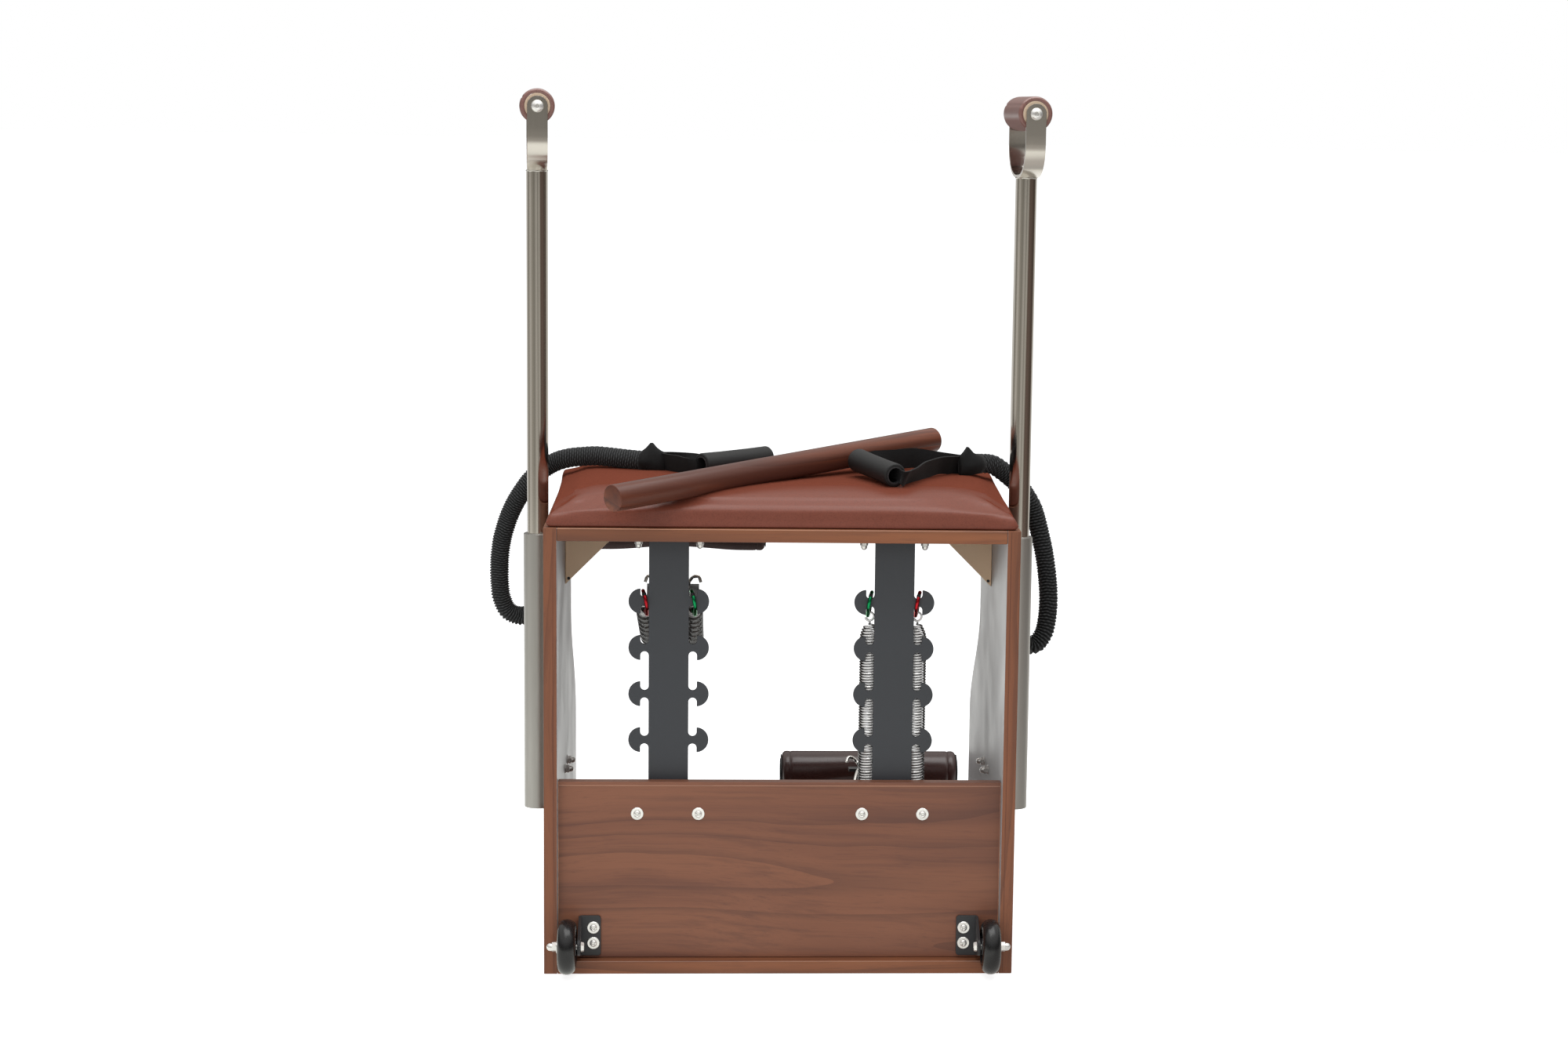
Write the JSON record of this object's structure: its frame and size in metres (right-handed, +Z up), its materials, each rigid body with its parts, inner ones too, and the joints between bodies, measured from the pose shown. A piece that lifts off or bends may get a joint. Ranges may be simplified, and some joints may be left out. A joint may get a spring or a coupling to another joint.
{
  "type": "pilates chair",
  "caption": "Boxed wooden pilates chair with padded seat, split sprung foot pedals, side handle poles with rollers, cords with foam grips, a loose rod and transport wheels.",
  "frame": {"origin": "on the floor, under the middle of the base board", "axes": "+Z up, +Y towards the pedals, where the user stands, +X to the right seen from the rear"},
  "size_m": [0.8263, 0.7658, 1.193],
  "materials": {
    "walnut": "satin walnut veneer",
    "panel_laminate": "pale grey laminate inside, walnut edge",
    "gusset_board": "taupe laminate",
    "seat_leather": "soft brown upholstery leather",
    "pedal_leather": "dark brown upholstery leather",
    "post_paint": "dark grey powder coat",
    "black_paint": "black powder coat",
    "polished_steel": "polished",
    "spring_chrome": "bright spring wire",
    "sleeve_aluminium": "satin anodised",
    "red_aluminium": "red anodised",
    "green_aluminium": "green anodised",
    "beige_core": "matt",
    "wheel_rubber": "smooth rubber",
    "cord_fabric": "ruched black sleeve",
    "strap_webbing": "woven webbing",
    "grip_foam": "closed-cell foam"
  },
  "bodies": {
    "frame": {"top_board": "walnut", "base_board": "walnut", "back_board": "walnut", "seat_cushion": "seat_leather", "left_side_panel": "panel_laminate", "left_gusset": "gusset_board", "left_spring_post": "post_paint", "left_hinge_bracket": "black_paint", "left_pivot_pin": "polished_steel", "left_pole_sleeve": "sleeve_aluminium", "left_wheel_bracket": "black_paint", "left_wheel_axle": "polished_steel", "left_cord_anchor": "black_paint", "left_cord": "cord_fabric", "left_handle_strap": "strap_webbing", "left_post_left_spring": "spring_chrome", "left_post_right_spring": "spring_chrome", "right_side_panel": "panel_laminate", "right_gusset": "gusset_board", "right_spring_post": "post_paint", "right_hinge_bracket": "black_paint", "right_pivot_pin": "polished_steel", "right_pole_sleeve": "sleeve_aluminium", "right_wheel_bracket": "black_paint", "right_wheel_axle": "polished_steel", "right_cord_anchor": "black_paint", "right_cord": "cord_fabric", "right_handle_strap": "strap_webbing", "left_post_left_carabiner": "red_aluminium", "left_post_right_carabiner": "green_aluminium"},
    "left_pedal": {"left_pedal_arm": "black_paint", "left_pedal_tube": "black_paint", "left_pedal_pad": "pedal_leather"},
    "left_pole": {"left_handle_pole": "polished_steel", "left_handle_fork": "polished_steel", "left_roller_axle": "polished_steel"},
    "left_roller": {"left_roller_core": "beige_core", "left_roller_cover": "seat_leather"},
    "left_wheel": {"left_wheel_tyre": "wheel_rubber", "left_wheel_hub": "black_paint"},
    "left_grip": {"left_cord_grip": "grip_foam"},
    "right_pedal": {"right_pedal_arm": "black_paint", "right_pedal_tube": "black_paint", "right_pedal_pad": "pedal_leather"},
    "right_pole": {"right_handle_pole": "polished_steel", "right_handle_fork": "polished_steel", "right_roller_axle": "polished_steel"},
    "right_roller": {"right_roller_core": "beige_core", "right_roller_cover": "seat_leather"},
    "right_wheel": {"right_wheel_tyre": "wheel_rubber", "right_wheel_hub": "black_paint"},
    "right_grip": {"right_cord_grip": "grip_foam"},
    "left_free_spring": {"right_post_left_carabiner": "green_aluminium", "right_post_left_spring": "spring_chrome"},
    "right_free_spring": {"right_post_right_carabiner": "red_aluminium", "right_post_right_spring": "spring_chrome"},
    "rod": {"joining_rod": "walnut"}
  },
  "joints": [
    {"name": "left_pedal_press", "type": "hinge", "parent": "frame", "child": "left_pedal", "pos_m": [-0.153, -0.19, 0.205], "axis": [1, 0, 0], "range_deg": [-41.6, 0], "stiffness_Nm_per_rad": 60, "springref_deg": 11.46, "deforming": ["left_post_left_spring", "left_post_right_spring"]},
    {"name": "right_pedal_press", "type": "hinge", "parent": "frame", "child": "right_pedal", "pos_m": [0.153, -0.19, 0.205], "axis": [1, 0, 0], "range_deg": [0, 41.6]},
    {"name": "left_pole_lift", "type": "slide", "parent": "frame", "child": "left_pole", "axis": [0, 0, 1], "range_m": [0, 0.3]},
    {"name": "left_roller_spin", "type": "hinge", "parent": "left_pole", "child": "left_roller", "pos_m": [-0.3415, -0.025, 1.169], "axis": [-0.0698, 0.9976, 0], "continuous": true},
    {"name": "left_wheel_spin", "type": "hinge", "parent": "frame", "child": "left_wheel", "pos_m": [-0.2875, -0.302, 0.0455], "axis": [1, 0, 0], "continuous": true},
    {"name": "right_pole_lift", "type": "slide", "parent": "frame", "child": "right_pole", "axis": [0, 0, 1], "range_m": [0, 0.3]},
    {"name": "right_roller_spin", "type": "hinge", "parent": "right_pole", "child": "right_roller", "pos_m": [0.3415, -0.025, 1.169], "axis": [-0.0872, 0.9962, 0], "continuous": true},
    {"name": "right_wheel_spin", "type": "hinge", "parent": "frame", "child": "right_wheel", "pos_m": [0.2875, -0.302, 0.0455], "axis": [1, 0, 0], "continuous": true},
    {"name": "left_free_spring_swing", "type": "hinge", "parent": "frame", "child": "left_free_spring", "pos_m": [0.1203, -0.22594, 0.5098], "axis": [1, 0, 0], "range_deg": [0, 35]},
    {"name": "right_free_spring_swing", "type": "hinge", "parent": "frame", "child": "right_free_spring", "pos_m": [0.1857, -0.22594, 0.5098], "axis": [1, 0, 0], "range_deg": [0, 35]},
    {"name": "left_grip_turn", "type": "hinge", "parent": "frame", "child": "left_grip", "pos_m": [-0.06425, -0.03, 0.67735], "axis": [0.7597, 0.65, 0.0187], "continuous": true},
    {"name": "right_grip_turn", "type": "hinge", "parent": "frame", "child": "right_grip", "pos_m": [0.131, -0.1325, 0.68175], "axis": [-0.3707, 0.9268, 0.0604], "continuous": true},
    {"name": "rod_lift", "type": "slide", "parent": "frame", "child": "rod", "axis": [0, 0, 1], "range_m": [0, 0.25]}
  ]
}
